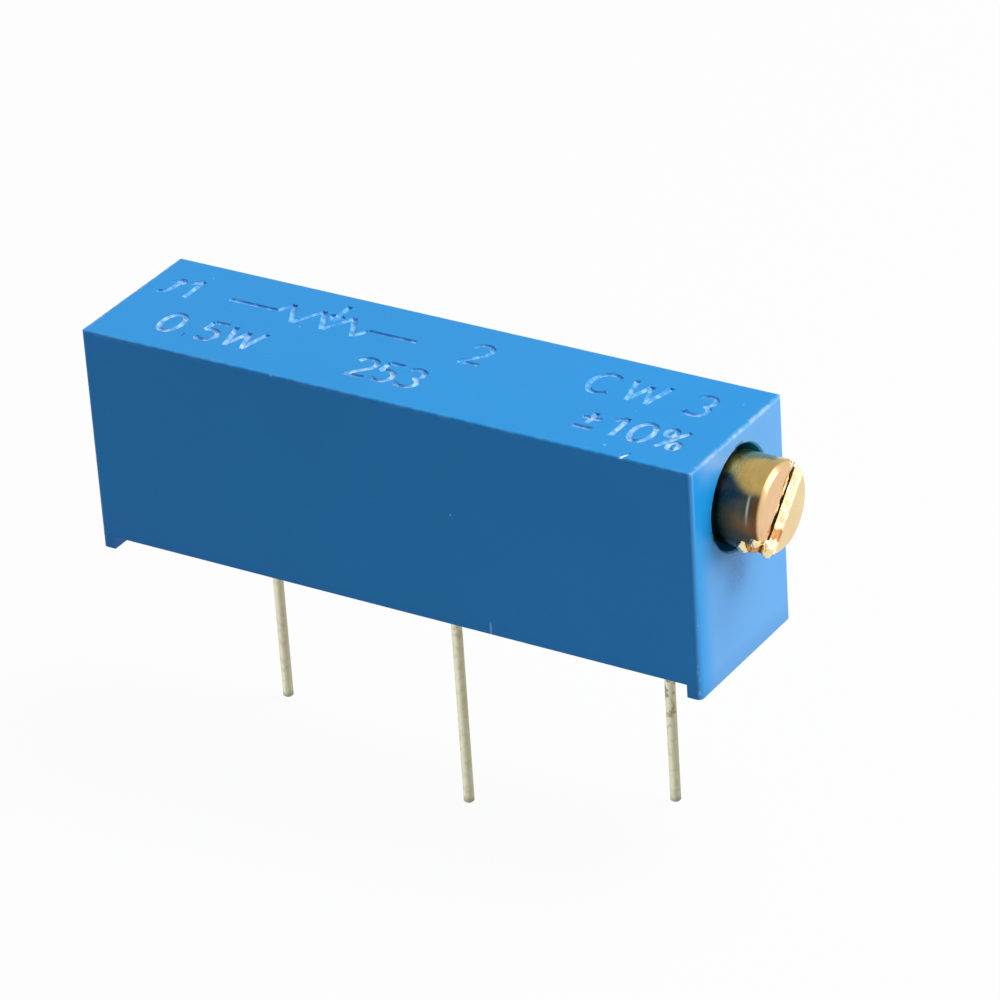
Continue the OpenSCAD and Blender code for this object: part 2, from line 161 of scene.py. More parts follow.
def places(tree):
    """The place on the piece, whole and split into its axes."""
    place = add_node(tree, "ShaderNodeTexCoord").outputs["Object"]
    axes = add_node(tree, "ShaderNodeSeparateXYZ")
    feed(tree, place, axes.inputs[0])
    return place, axes.outputs


def build_grain_group():
    """Fine grain and slow waviness of a surface, and sparse specks of dust on it."""
    group = bpy.data.node_groups.new("surface_grain", "ShaderNodeTree")
    for name, start in (
        ("Grain Scale", 9000.0), ("Wave Scale", 220.0), ("Speck Scale", 900.0), ("Speck Size", 0.05),
    ):
        socket = group.interface.new_socket(name, in_out="INPUT", socket_type="NodeSocketFloat")
        socket.default_value = start
    for name in ("Grain", "Wave", "Specks"):
        group.interface.new_socket(name, in_out="OUTPUT", socket_type="NodeSocketFloat")
    given = add_node(group, "NodeGroupInput").outputs
    made = add_node(group, "NodeGroupOutput").inputs
    place = add_node(group, "ShaderNodeTexCoord").outputs["Object"]
    feed(group, noise(group, place, given["Grain Scale"], 4.0), made["Grain"])
    feed(group, noise(group, place, given["Wave Scale"], 1.0), made["Wave"])
    cells = add_node(group, "ShaderNodeTexVoronoi")
    feed(group, place, cells.inputs["Vector"])
    feed(group, given["Speck Scale"], cells.inputs["Scale"])
    chance = add_node(group, "ShaderNodeSeparateColor")
    feed(group, cells.outputs["Color"], chance.inputs["Color"])
    # Cubed, so that most specks are tiny and few are large
    reach = product(group, value_of(group, "POWER", chance.outputs[0], 3.0), given["Speck Size"])
    feed(group, value_of(group, "LESS_THAN", cells.outputs["Distance"], reach), made["Specks"])
    return group


grain_group = build_grain_group()


def grain(tree, grain_scale, wave_scale, speck_scale=900.0, speck_size=0.05):
    node = add_node(tree, "ShaderNodeGroup")
    node.node_tree = grain_group
    for name, value in (
        ("Grain Scale", grain_scale), ("Wave Scale", wave_scale),
        ("Speck Scale", speck_scale), ("Speck Size", speck_size),
    ):
        node.inputs[name].default_value = value
    return node.outputs


housing_blue = (0.006, 0.230, 0.550)
housing_pale = (0.30, 0.60, 0.92)
painted_sheen_pale = (0.46, 0.57, 0.74)
scuffed_grey = (0.52, 0.60, 0.74)
chipped_white = (0.62, 0.80, 0.97)
under_bore_grey = (0.04, 0.12, 0.29)
grime_black = (0.008, 0.015, 0.04)
shade_blue = (0.0, 0.05, 0.2)
groove_depth = 0.080 * MM
groove_radius = 0.090 * MM
mark_margin = 0.35 * MM
edge_highlight_width = 0.14 * MM
full_edge_highlight_width = edge_highlight_width * 0.2
nick_x = housing_high.x - 2.05 * MM
nick_y = housing_low.y + 0.12 * MM
nick_half_sizes = (0.06 * MM, 0.30 * MM, 0.07 * MM)
nick_turn = math.radians(24)
scratch_x = housing_low.x + 12.65 * MM
screw_low, screw_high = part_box("adjusting_screw")
bore_y = (screw_low.y + screw_high.y) / 2
bore_z = (screw_low.z + screw_high.z) / 2
bore_r = 1.45 * MM


def near(tree, axes, spots, inner, outer):
    """1 within inner of a spot, fading to 0 at outer; spots gives one value for some axes."""
    total = None
    for axis, spot in spots.items():
        gap = value_of(tree, "SUBTRACT", axes[axis], spot)
        square = product(tree, gap, gap)
        total = square if total is None else value_of(tree, "ADD", total, square)
    return ramp(tree, value_of(tree, "SQRT", total), outer, inner)


def highlit_edges(tree, axes):
    """1 along the upright edges, the short edges of the top and the long edges of the top, where highlights
    are painted.
    """
    closeness = []
    for axis, low, high in (("X", housing_low.x, housing_high.x), ("Y", housing_low.y, housing_high.y)):
        half = (high - low) / 2
        off = distance(tree, axes[axis], low + half)
        closeness.append(ramp(tree, off, half - edge_highlight_width, half - full_edge_highlight_width))
    closeness.append(ramp(tree, axes["Z"], top_z - edge_highlight_width, top_z - full_edge_highlight_width))
    by_x, by_y, by_z = closeness
    return product(tree, by_x, by_y), product(tree, by_x, by_z), product(tree, by_y, by_z)


def end_sheen_and_grime(tree, place, axes, surface, base):
    """The end round the screw: a pale painted sheen over it, a darker grey-blue patch under the bore, and
    grime at its rim.

    Along its front edge and in front of the bore the painted sheen is left off, so these parts stay darker
    and bluer.
    """
    at_end = value_of(tree, "GREATER_THAN", axes["X"], housing_high.x - 0.02 * MM)
    behind_edge = ramp(tree, axes["Y"], housing_low.y + 0.05 * MM, housing_low.y + 0.95 * MM)
    level = distance(tree, axes["Z"], bore_z + 0.1 * MM)
    sheen_gap = product(tree, ramp(tree, level, 1.7 * MM, 0.7 * MM),
                     ramp(tree, axes["Y"], bore_y - 0.4 * MM, bore_y - 1.1 * MM))
    sheen_kept = product(tree, behind_edge, value_of(tree, "SUBTRACT", 1.0, sheen_gap))
    # Painted sheen: a pale film over the end face
    sheen = product(tree, span(tree, surface["Wave"], 0.12, 0.12), sheen_kept, at_end)
    base = mixed_colour(tree, sheen, base, painted_sheen_pale)
    # A darker grey-blue patch under the bore
    under_bore = {"Y": bore_y - 0.30 * MM, "Z": bore_z - bore_r - 0.55 * MM}
    under_bore_patch = product(tree, near(tree, axes, under_bore, 0.05 * MM, 0.95 * MM), at_end, surface["Grain"])
    under_bore_patch = value_of(tree, "MULTIPLY", under_bore_patch, 1.1, clamp=True)
    base = mixed_colour(tree, under_bore_patch, base, under_bore_grey)
    rim = near(tree, axes, {"Y": bore_y, "Z": bore_z}, bore_r + 0.04 * MM, bore_r + 0.16 * MM)
    flecks = ramp(tree, noise(tree, place, scale=1300.0, detail=2.0), 0.54, 0.64)
    return mixed_colour(tree, product(tree, rim, flecks, at_end, 0.9), base, grime_black)


def pressed_marks(tree, axes):
    """1 in the grooves of the marks: below the top face and away from its edges."""
    middle_x = (housing_low.x + housing_high.x) / 2
    below = ramp(tree, axes["Z"], top_z - 0.004 * MM, top_z - 0.022 * MM)
    shallow = value_of(tree, "GREATER_THAN", axes["Z"], top_z - 0.3 * MM)
    across = distance(tree, axes["Y"], mid_y)
    along = distance(tree, axes["X"], middle_x)
    off_sides = value_of(tree, "LESS_THAN", across, housing_high.y - mid_y - mark_margin)
    off_ends = value_of(tree, "LESS_THAN", along, housing_high.x - middle_x - mark_margin)
    return product(tree, below, shallow, off_sides, off_ends)


def nicked(tree, axes, base):
    """The chip in the top front edge, and a short upright scratch at the front's lower edge."""
    at_nick = {"X": nick_x, "Y": nick_y, "Z": top_z - 0.05 * MM}
    chip = product(
        tree, near(tree, axes, at_nick, 0.10 * MM, 0.20 * MM),
        ramp(tree, axes["Z"], top_z - 0.002 * MM, top_z - 0.02 * MM),
        ramp(tree, axes["Y"], housing_low.y + 0.02 * MM, housing_low.y + 0.09 * MM), 0.8,
    )
    base = mixed_colour(tree, chip, base, chipped_white)
    scratch = product(
        tree, near(tree, axes, {"X": scratch_x}, 0.015 * MM, 0.05 * MM),
        ramp(tree, axes["Z"], housing_low.z + 0.80 * MM, housing_low.z + 0.64 * MM),
        ramp(tree, axes["Y"], housing_low.y + 0.05 * MM, housing_low.y), 0.6,
    )
    return mixed_colour(tree, scratch, base, housing_pale)


def moulded_plastic():
    material, tree, shader = new_material("moulded_blue_thermoset")
    surface = grain(tree, grain_scale=9000.0, wave_scale=260.0, speck_scale=1300.0, speck_size=0.06)
    place, axes = places(tree)
    darker, lighter, lightest = [tuple(c * level for c in housing_blue) for level in (0.94, 1.05, 1.5)]
    base = mixed_colour(tree, surface["Wave"], darker, lighter)
    base = mixed_colour(tree, product(tree, surface["Grain"], 0.16), base, lightest)
    base = end_sheen_and_grime(tree, place, axes, surface, base)
    # Painted shade: the housing darkens towards its lower edge
    lower_edge = ramp(tree, axes["Z"], housing_low.z + 0.7 * MM, housing_low.z + 0.1 * MM)
    base = mixed_colour(tree, product(tree, lower_edge, 0.16), base, shade_blue)
    # The die scuffed its grooves and left those of the front row greyer; their paleness is partly a painted
    # highlight on the groove walls
    scuff_glint_noise = noise(tree, place, scale=4200.0, detail=2.0)
    scuffs_and_glints = span(tree, ramp(tree, scuff_glint_noise, 0.40, 0.66), 0.20, 0.65)
    pressed = product(tree, pressed_marks(tree, axes), scuffs_and_glints)
    base = mixed_colour(tree, pressed, base, housing_pale)
    front_row = value_of(tree, "LESS_THAN", axes["Y"], mid_y - 0.55 * MM)
    base = mixed_colour(tree, product(tree, pressed, front_row, 0.6), base, scuffed_grey)
    # Painted highlights along the upright edges and the edges of the top, broken up by the same noise
    upright, short_edge, long_edge = highlit_edges(tree, axes)
    base = mixed_colour(tree, product(tree, short_edge, scuffs_and_glints, 0.55), base, painted_sheen_pale)
    base = mixed_colour(tree, product(tree, long_edge, scuffs_and_glints, 0.16), base, housing_pale)
    spots = span(tree, ramp(tree, scuff_glint_noise, 0.62, 0.70), 0.14, 0.45)
    base = mixed_colour(tree, product(tree, upright, spots), base, painted_sheen_pale)
    base = nicked(tree, axes, base)
    base = mixed_colour(tree, product(tree, surface["Specks"], 0.5), base, housing_pale)
    feed(tree, base, shader.inputs["Base Color"])
    feed(tree, span(tree, surface["Grain"], 0.28, 0.12), shader.inputs["Roughness"])
    shader.inputs["IOR"].default_value = 1.33
    shader.inputs["Specular IOR Level"].default_value = 0.35
    normal = bump(tree, surface["Wave"], depth=0.02 * MM, strength=0.4)
    normal = bump(tree, surface["Grain"], depth=0.002 * MM, strength=0.6, normal=normal)
    feed(tree, normal, shader.inputs["Normal"])
    return material


def arc(cx, cy, rx, ry, start, end, steps):
    """Points of an elliptic arc, with its angles in degrees."""
    turns = [math.radians(start + (end - start) * i / steps) for i in range(steps + 1)]
    return [(cx + rx * math.cos(a), cy + ry * math.sin(a)) for a in turns]


# Strokes of each mark on a cap height of 1, as the point of an engraver would draw them
mark_strokes = {
    "0": [arc(0.30, 0.5, 0.30, 0.5, 90, 450, 16)],
    "1": [[(0.08, 0.76), (0.36, 1.0)], [(0.36, 1.0), (0.36, 0.0)]],
    "2": [arc(0.30, 0.70, 0.29, 0.30, 165, -35, 8) + [(0.04, 0.0)], [(0.02, 0.0), (0.62, 0.0)]],
    "3": [arc(0.28, 0.76, 0.27, 0.24, 150, -80, 8), arc(0.28, 0.27, 0.32, 0.27, 75, -150, 9)],
    "5": [[(0.56, 1.0), (0.10, 1.0)], [(0.10, 1.0), (0.07, 0.55)],
          arc(0.27, 0.31, 0.31, 0.31, 130, -140, 10)],
    "C": [arc(0.38, 0.5, 0.38, 0.5, 48, 312, 12)],
    "W": [[(0.0, 1.0), (0.24, 0.0)], [(0.21, 0.0), (0.50, 0.86)], [(0.50, 0.86), (0.79, 0.0)],
          [(0.76, 0.0), (1.0, 1.0)]],
    "+": [[(0.02, 0.62), (0.58, 0.62)], [(0.30, 0.92), (0.30, 0.32)], [(0.02, 0.10), (0.58, 0.10)]],
    "%": [arc(0.16, 0.80, 0.15, 0.19, 90, 450, 10), [(0.62, 1.0), (0.08, 0.0)],
          arc(0.54, 0.20, 0.15, 0.19, 90, 450, 10)],
    ".": [[(0.12, 0.02), (0.16, 0.02)]],
}
zigzag = [(0.0, 0.42), (1.50, 0.42), (1.73, 0.88), (2.20, 0.0), (2.67, 0.88), (3.13, 0.0), (3.60, 0.88),
          (4.07, 0.0), (4.30, 0.42), (5.80, 0.42)]
resistor_symbol = [list(pair) for pair in zip(zigzag, zigzag[1:])] + [
    [(3.13, 1.40), (3.13, 0.55)], [(2.95, 0.84), (3.13, 0.55)], [(3.31, 0.84), (3.13, 0.55)],
]
turn_arrow = [[(0.0, 0.06), (0.14, 0.07), (0.25, 0.15), (0.32, 0.30), (0.34, 0.50), (0.34, 0.95)],
              [(0.14, 0.70), (0.34, 0.95)], [(0.54, 0.70), (0.34, 0.95)]]
# How far a narrow or a wide letter moves the next one on, in pitches
letter_widths = {".": 0.55, "W": 1.5, "1": 0.9}
weld_gap = 0.0005 * MM
square_on = 0.9999


def select_only(piece):
    bpy.ops.object.select_all(action="DESELECT")
    piece.select_set(True)
    bpy.context.view_layer.objects.active = piece


def die_stroke(points, x, y, height):
    """A round rod along one stroke of a mark, at the top face."""
    data = bpy.data.curves.new("die_stroke", "CURVE")
    data.dimensions = "3D"
    data.bevel_depth = groove_radius
    data.bevel_resolution = 2
    data.use_fill_caps = True
    line = data.splines.new("POLY")
    closed = len(points) > 3 and math.dist(points[0], points[-1]) < 1e-6
    points = points[:-1] if closed else points
    line.use_cyclic_u = closed
    line.points.add(len(points) - 1)
    for place, (u, v) in zip(line.points, points):
        place.co = (x + u * height, y + v * height, top_z + groove_radius - groove_depth, 1.0)
    rod = bpy.data.objects.new("die_stroke", data)
    bpy.context.scene.collection.objects.link(rod)
    select_only(rod)
    bpy.ops.object.convert(target="MESH")
    bpy.ops.object.mode_set(mode="EDIT")
    bpy.ops.mesh.select_all(action="SELECT")
    bpy.ops.mesh.remove_doubles(threshold=weld_gap)
    bpy.ops.mesh.normals_make_consistent(inside=False)
    bpy.ops.object.mode_set(mode="OBJECT")
    return bpy.context.object


def cut_away(piece, cutter):
    """Takes the shape of a cutter out of a piece, and throws the cutter away."""
    cut = piece.modifiers.new("cut", "BOOLEAN")
    cut.object = cutter
    cut.operation = "DIFFERENCE"
    cut.solver = "MANIFOLD"
    select_only(piece)
    bpy.ops.object.modifier_apply(modifier=cut.name)
    bpy.data.objects.remove(cutter)


def pick_faces(piece, wanted):
    """Selects the faces of a piece that wanted(face) says, and nothing else, and stays in edit mode."""
    select_only(piece)
    bpy.ops.object.mode_set(mode="EDIT")
    bpy.ops.mesh.select_mode(type="FACE")
    bpy.ops.mesh.select_all(action="DESELECT")
    bpy.ops.object.mode_set(mode="OBJECT")
    for face in piece.data.polygons:
        face.select = wanted(face)
    bpy.ops.object.mode_set(mode="EDIT")


def keep_flats_crisp(piece):
    """Marks the rims of all flat, square-on faces as sharp, so that their shading stays even."""
    pick_faces(piece, lambda face: max(abs(part) for part in face.normal) > square_on)
    bpy.ops.mesh.region_to_loop()
    bpy.ops.mesh.mark_sharp()
    bpy.ops.mesh.select_mode(type="FACE")
    bpy.ops.object.mode_set(mode="OBJECT")


def lay_out(text, x, y, height, pitch):
    """The marks of a word, as (strokes, x, y, height)."""
    placed = []
    for letter in text:
        placed.append((mark_strokes[letter], x, y, height))
        x += pitch * letter_widths.get(letter, 1.0)
    return placed


# Rows, and starts along the top, cap heights and letter pitches of the marks, in mm
back_row = -0.86
front_row = -2.74
marks = [
    (turn_arrow, -2.62 * MM, back_row * MM, 0.95 * MM),
    (resistor_symbol, -0.45 * MM, back_row * MM, 1.04 * MM),
]
for text, x, row, height, pitch in (
    ("1", -2.06, back_row, 1.02, 0.0),
    ("2", 7.12, back_row, 1.06, 0.0),
    ("C", 10.96, back_row, 1.06, 0.0),
    ("W", 12.08, back_row, 1.06, 0.0),
    ("3", 13.98, back_row, 1.06, 0.0),
    ("0.5W", -1.42, front_row, 1.0, 0.82),
    ("253", 4.72, front_row, 1.0, 0.76),
    ("+10%", 11.74, front_row, 1.0, 0.84),
):
    marks += lay_out(text, x * MM, row * MM, height * MM, pitch * MM)

shell = nodes["housing"].copy()
shell.data = nodes["housing"].data.copy()
for key in list(shell.keys()):
    del shell[key]
shell.parent = None
shell.name = "housing_shell"
bpy.context.scene.collection.objects.link(shell)
select_only(shell)
bpy.ops.mesh.customdata_custom_splitnormals_clear()
bpy.ops.object.mode_set(mode="EDIT")
bpy.ops.mesh.select_all(action="SELECT")
bpy.ops.mesh.remove_doubles(threshold=weld_gap)
bpy.ops.object.mode_set(mode="OBJECT")

for strokes, x, y, height in marks:
    for stroke in strokes:
        cut_away(shell, die_stroke(stroke, x, y, height))
bpy.ops.object.select_all(action="DESELECT")
bpy.ops.mesh.primitive_ico_sphere_add(subdivisions=1, radius=1.0, location=(0.0, 0.0, 0.0))
bpy.ops.object.mode_set(mode="EDIT")
bpy.ops.transform.resize(value=nick_half_sizes)
bpy.ops.transform.rotate(value=nick_turn, orient_axis="Z", center_override=(0.0, 0.0, 0.0))
bpy.ops.transform.translate(value=(nick_x, nick_y, top_z + 0.01 * MM))
bpy.ops.object.mode_set(mode="OBJECT")
cut_away(shell, bpy.context.object)
bpy.ops.object.mode_set(mode="EDIT")
bpy.ops.mesh.select_all(action="SELECT")
bpy.ops.mesh.dissolve_limited(angle_limit=math.radians(0.2))
bpy.ops.object.mode_set(mode="OBJECT")
bpy.ops.object.shade_smooth_by_angle(angle=math.radians(40))
keep_flats_crisp(shell)
shell.data.materials.clear()
shell.data.materials.append(moulded_plastic())
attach(shell, "body")
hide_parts("housing")

# ---- Element ----
# A plate of fired alumina that carries printed films: a black cermet track, a silver
# collector track that ends round pin 2, and a pad of the same silver print round pins 1 and 3.


def finish_node(name, material):
    """Gives a piece of the frame its finish."""
    data = nodes[name].data
    data.materials.clear()
    data.materials.append(material)


def grained_finish(name, dark, light, metallic, roughness, scales, depth, strength, pattern="Grain"):
    """Two shades in a fine pattern and the same pattern in low relief."""
    material, tree, shader = new_material(name)
    surface = grain(tree, *scales)
    feed(tree, mixed_colour(tree, surface[pattern], dark, light), shader.inputs["Base Color"])
    feed(tree, bump(tree, surface[pattern], depth, strength), shader.inputs["Normal"])
    shader.inputs["Metallic"].default_value = metallic
    shader.inputs["Roughness"].default_value = roughness
    return material


def printed_film(name, dark, light, metallic, roughness):
    return grained_finish(name, dark, light, metallic, roughness, (22000.0, 1500.0), 0.004 * MM, 0.7)


alumina_dark = (0.80, 0.79, 0.75)
alumina_light = (0.90, 0.89, 0.86)
fired_alumina = grained_finish(
    "fired_alumina", alumina_dark, alumina_light, 0.0, 0.55, (14000.0, 700.0, 1500.0, 0.03), 0.004 * MM, 0.5,
)
cermet_print = printed_film("cermet_print", (0.012, 0.012, 0.014), (0.04, 0.04, 0.045), 0.0, 0.45)
silver_print = printed_film("silver_print", (0.45, 0.43, 0.39), (0.70, 0.68, 0.63), 1.0, 0.42)
finish_node("element_substrate", fired_alumina)
finish_node("resistive_track", cermet_print)
for name in ("collector_track", "end_pad_1", "end_pad_3"):
    finish_node(name, silver_print)

# ---- Pins ----
# Three tinned copper wires with a drawn, dull surface. Each has a square shank in the resin
# and is soldered to its pad above the substrate.

tin_dark = (0.68, 0.66, 0.48)
tin_light = (0.90, 0.88, 0.68)
tin_painted_shade = (0.15, 0.13, 0.05)
pin_stain = (0.16, 0.11, 0.06)
cut_end_grey = (0.12, 0.11, 0.09)


def stretched(tree, place, scale):
    """The place with its axes scaled: a pattern runs long where scale is small."""
    node = add_node(tree, "ShaderNodeMapping")
    node.inputs["Scale"].default_value = scale
    feed(tree, place, node.inputs["Vector"])
    return node.outputs["Vector"]


def tinned_wire(number, stain, stain_top):
    """Finish of one pin: drawn lines along it, painted shade on one side, and brown stains, most above
    stain_top.
    """
    material, tree, shader = new_material(f"dull_tinned_wire_{number}")
    pin_low, pin_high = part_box(f"pin_{number}")
    middle_x = (pin_low.x + pin_high.x) / 2
    place, axes = places(tree)
    lines = noise(tree, stretched(tree, place, (1.0, 1.0, 0.04)), scale=16000.0, detail=3.0)
    patches = noise(tree, place, scale=2600.0, detail=3.0)
    spots = noise(tree, place, scale=5200.0, detail=2.0, seed=2.6 * number)
    base = mixed_colour(tree, lines, tin_dark, tin_light)
    # Painted shade: the +X side of the pin is darker
    darker_part = ramp(tree, axes["X"], middle_x - 0.02 * MM, middle_x + 0.13 * MM)
    base = mixed_colour(tree, product(tree, darker_part, 0.62), base, tin_painted_shade)
    high = ramp(tree, axes["Z"], stain_top - 0.8 * MM, stain_top)
    stained = product(tree, ramp(tree, spots, 0.50, 0.60), span(tree, high, 0.15, stain))
    base = mixed_colour(tree, stained, base, pin_stain)
    tip = ramp(tree, axes["Z"], pin_low.z + 0.28 * MM, pin_low.z + 0.02 * MM)
    base = mixed_colour(tree, product(tree, tip, 0.55), base, cut_end_grey)
    feed(tree, base, shader.inputs["Base Color"])
    shader.inputs["Metallic"].default_value = 1.0
    feed(tree, span(tree, patches, 0.28, 0.25), shader.inputs["Roughness"])
    feed(tree, bump(tree, lines, depth=0.004 * MM, strength=0.6), shader.inputs["Normal"])
    return material


for number, stain, stain_top in ((1, 0.35, -0.2 * MM), (2, 0.25, -0.2 * MM), (3, 0.50, -3.0 * MM)):
    finish_node(f"pin_{number}", tinned_wire(number, stain, stain_top))

solder_dark = (0.55, 0.55, 0.56)
solder_light = (0.78, 0.78, 0.79)
bright_solder = grained_finish(
    "bright_solder", solder_dark, solder_light, 1.0, 0.24, (9000.0, 1800.0), 0.01 * MM, 0.6, "Wave",
)
for number in (1, 2, 3):
    finish_node(f"solder_joint_{number}", bright_solder)

# ---- Resin ----
# Dark blue epoxy poured into the open underside, round the shanks of the pins. As it cured
# it crept up the walls and along each pin, so its surface is dished and never quite flat.

resin_low, resin_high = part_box("potting_resin")
resin_dark = (0.010, 0.055, 0.15)
resin_light = (0.020, 0.10, 0.25)
resin_dust = (0.3, 0.4, 0.5)


def cured_resin():
    material, tree, shader = new_material("cured_epoxy")
    surface = grain(tree, grain_scale=3000.0, wave_scale=420.0, speck_scale=1300.0, speck_size=0.05)
    base = mixed_colour(tree, surface["Wave"], resin_dark, resin_light)
    base = mixed_colour(tree, product(tree, surface["Specks"], 0.5), base, resin_dust)
    feed(tree, base, shader.inputs["Base Color"])
    feed(tree, span(tree, surface["Wave"], 0.10, 0.12), shader.inputs["Roughness"])
    feed(tree, bump(tree, surface["Wave"], depth=0.05 * MM, strength=0.5), shader.inputs["Normal"])
    return material


resin_finish = cured_resin()
finish_node("potting_resin", resin_finish)
bpy.ops.object.select_all(action="DESELECT")
bpy.ops.mesh.primitive_grid_add(x_subdivisions=200, y_subdivisions=46, size=1.0)
meniscus = bpy.context.object
meniscus.name = "resin_surface"
bpy.ops.object.mode_set(mode="EDIT")
bpy.ops.transform.resize(value=(resin_high.x - resin_low.x, resin_high.y - resin_low.y, 1.0))
bpy.ops.transform.translate(value=((resin_low.x + resin_high.x) / 2, mid_y, resin_low.z - 0.01 * MM))
bpy.ops.object.mode_set(mode="OBJECT")


def pull_down(piece, wanted, depth, reach):
    """Draws the points that wanted(point) says downwards, and those round them less."""
    bpy.ops.object.mode_set(mode="EDIT")
    bpy.ops.mesh.select_mode(type="VERT")
    bpy.ops.mesh.select_all(action="DESELECT")
    bpy.ops.object.mode_set(mode="OBJECT")
    for point in piece.data.vertices:
        point.select = wanted(point.co)
    bpy.ops.object.mode_set(mode="EDIT")
    bpy.ops.transform.translate(
        value=(0.0, 0.0, -depth), use_proportional_edit=True, proportional_edit_falloff="SHARP",
        proportional_size=reach,
    )
    bpy.ops.object.mode_set(mode="OBJECT")


def at_wall(point):
    """Whether a point of the surface lies against a wall of the housing."""
    off_ends = min(point.x - resin_low.x, resin_high.x - point.x)
    off_sides = min(point.y - resin_low.y, resin_high.y - point.y)
    return min(off_ends, off_sides) < 0.01 * MM


pull_down(meniscus, at_wall, depth=0.06 * MM, reach=0.42 * MM)
for number in (1, 2, 3):
    pin_low, pin_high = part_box(f"pin_{number}")
    axis = ((pin_low + pin_high) / 2).xy
    pull_down(meniscus, lambda point: (point.xy - axis).length < 0.17 * MM, depth=0.20 * MM, reach=0.46 * MM)
bpy.ops.object.mode_set(mode="EDIT")
bpy.ops.mesh.select_all(action="SELECT")
bpy.ops.mesh.extrude_region_move(TRANSFORM_OT_translate={"value": (0.0, 0.0, 0.04 * MM)})
bpy.ops.mesh.select_all(action="SELECT")
bpy.ops.mesh.normals_make_consistent(inside=False)
bpy.ops.object.mode_set(mode="OBJECT")
bpy.ops.object.shade_smooth_by_angle(angle=math.radians(50))
meniscus.data.materials.append(resin_finish)
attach(meniscus, "body")

# ---- Adjusting screw ----
# Turned from free-cutting brass, with a slot sawn across its head. The saw and the driver
# left torn burrs along the slot and chips at its mouth. The gold, dark and brown bands round
# the barrel are painted reflections, and the slot's walls have painted shade towards the bottom.

head_x = screw_high.x
slot_turn = math.radians(44.0)
slot_along = Vector((0.0, math.cos(slot_turn), math.sin(slot_turn)))
slot_across = Vector((0.0, -math.sin(slot_turn), math.cos(slot_turn)))
slot_half = 0.35 * MM
slot_depth = 0.74 * MM
head_r = 1.27 * MM
head_middle = Vector((head_x, bore_y, bore_z))
face_shades = ((0.84, 0.61, 0.30), (0.92, 0.75, 0.45))
upper_face_shades = ((0.80, 0.50, 0.24), (0.93, 0.64, 0.38))
brown_reflection_shades = ((0.08, 0.055, 0.030), (0.19, 0.11, 0.055))
gold_reflection_shades = ((0.44, 0.30, 0.08), (0.62, 0.45, 0.16))
sawn_shades = ((0.92, 0.74, 0.40), (1.0, 0.90, 0.66))
dark_reflection_teal = (0.030, 0.062, 0.068)
pale_streak_highlight = (0.50, 0.47, 0.34)
rim_dark_reflection = (0.12, 0.050, 0.012)
slot_painted_shade = (0.10, 0.045, 0.012)
mouth_red_brown = (0.52, 0.20, 0.035)
brass_stain = (0.24, 0.13, 0.06)
tear_stain = (0.46, 0.17, 0.035)


def distance_along(tree, place, direction):
    """How far a point lies from the middle of the head, measured along a direction."""
    node = add_node(tree, "ShaderNodeVectorMath", operation="DOT_PRODUCT")
    node.inputs[1].default_value = direction
    feed(tree, place, node.inputs[0])
    return value_of(tree, "SUBTRACT", node.outputs["Value"], direction.dot(head_middle))


def brass_face(tree, rings, across):
    """Bright, with the rings of the turning tool, and redder on the half above the slot."""
    face = mixed_colour(tree, rings, *face_shades)
    upper = mixed_colour(tree, rings, *upper_face_shades)
    return mixed_colour(tree, ramp(tree, across, 0.0, 0.1 * MM), face, upper)


def barrel_reflections(tree, axes, rings, shift, depth):
    """Painted reflections: gold on top, dark at mid height and brown below, with a pale painted highlight
    streak behind its brown rim, itself a painted dark reflection.
    """
    height = value_of(tree, "ADD", value_of(tree, "SUBTRACT", axes["Z"], bore_z), shift)
    back = ramp(tree, depth, 0.4 * MM, 1.3 * MM)
    height = value_of(tree, "SUBTRACT", height, product(tree, back, 0.30 * MM))
    far = value_of(tree, "MAXIMUM", value_of(tree, "SUBTRACT", axes["Y"], bore_y), 0.0)
    height = value_of(tree, "ADD", height, product(tree, far, 0.8))
    # Painted reflections in bands by height: brown below, dark teal in the middle, gold on top
    barrel = mixed_colour(tree, rings, *brown_reflection_shades)
    middle = ramp(tree, height, 0.08 * MM, 0.32 * MM)
    barrel = mixed_colour(tree, product(tree, middle, 0.92), barrel, dark_reflection_teal)
    gold = mixed_colour(tree, rings, *gold_reflection_shades)
    barrel = mixed_colour(tree, ramp(tree, height, 0.72 * MM, 0.92 * MM), barrel, gold)
    streak = product(
        tree, ramp(tree, depth, 0.35 * MM, 0.39 * MM), ramp(tree, depth, 0.46 * MM, 0.41 * MM),
        ramp(tree, height, 0.86 * MM, 0.74 * MM), ramp(tree, height, -0.10 * MM, 0.45 * MM), 0.75,
    )
    barrel = mixed_colour(tree, streak, barrel, pale_streak_highlight)
    rim = product(
        tree, ramp(tree, depth, 0.34 * MM, 0.26 * MM), ramp(tree, height, 0.88 * MM, 0.70 * MM), 0.8,
    )
    return mixed_colour(tree, rim, barrel, rim_dark_reflection)


def slot_wall(tree, rings, shift, depth, along):
    """Clean where it was sawn, with painted shade towards the bottom, and red-brown at the lower mouth."""
    wall = mixed_colour(tree, rings, *sawn_shades)
    deep = value_of(tree, "ADD", depth, product(tree, shift, 0.35))
    # Painted shade: the wall darkens with depth into the slot
    wall = mixed_colour(tree, ramp(tree, deep, 0.25 * MM, 0.30 * MM), wall, slot_painted_shade)
    low = ramp(tree, value_of(tree, "ADD", along, shift), -0.50 * MM, -0.75 * MM)
    return mixed_colour(tree, product(tree, low, 0.85), wall, mouth_red_brown)


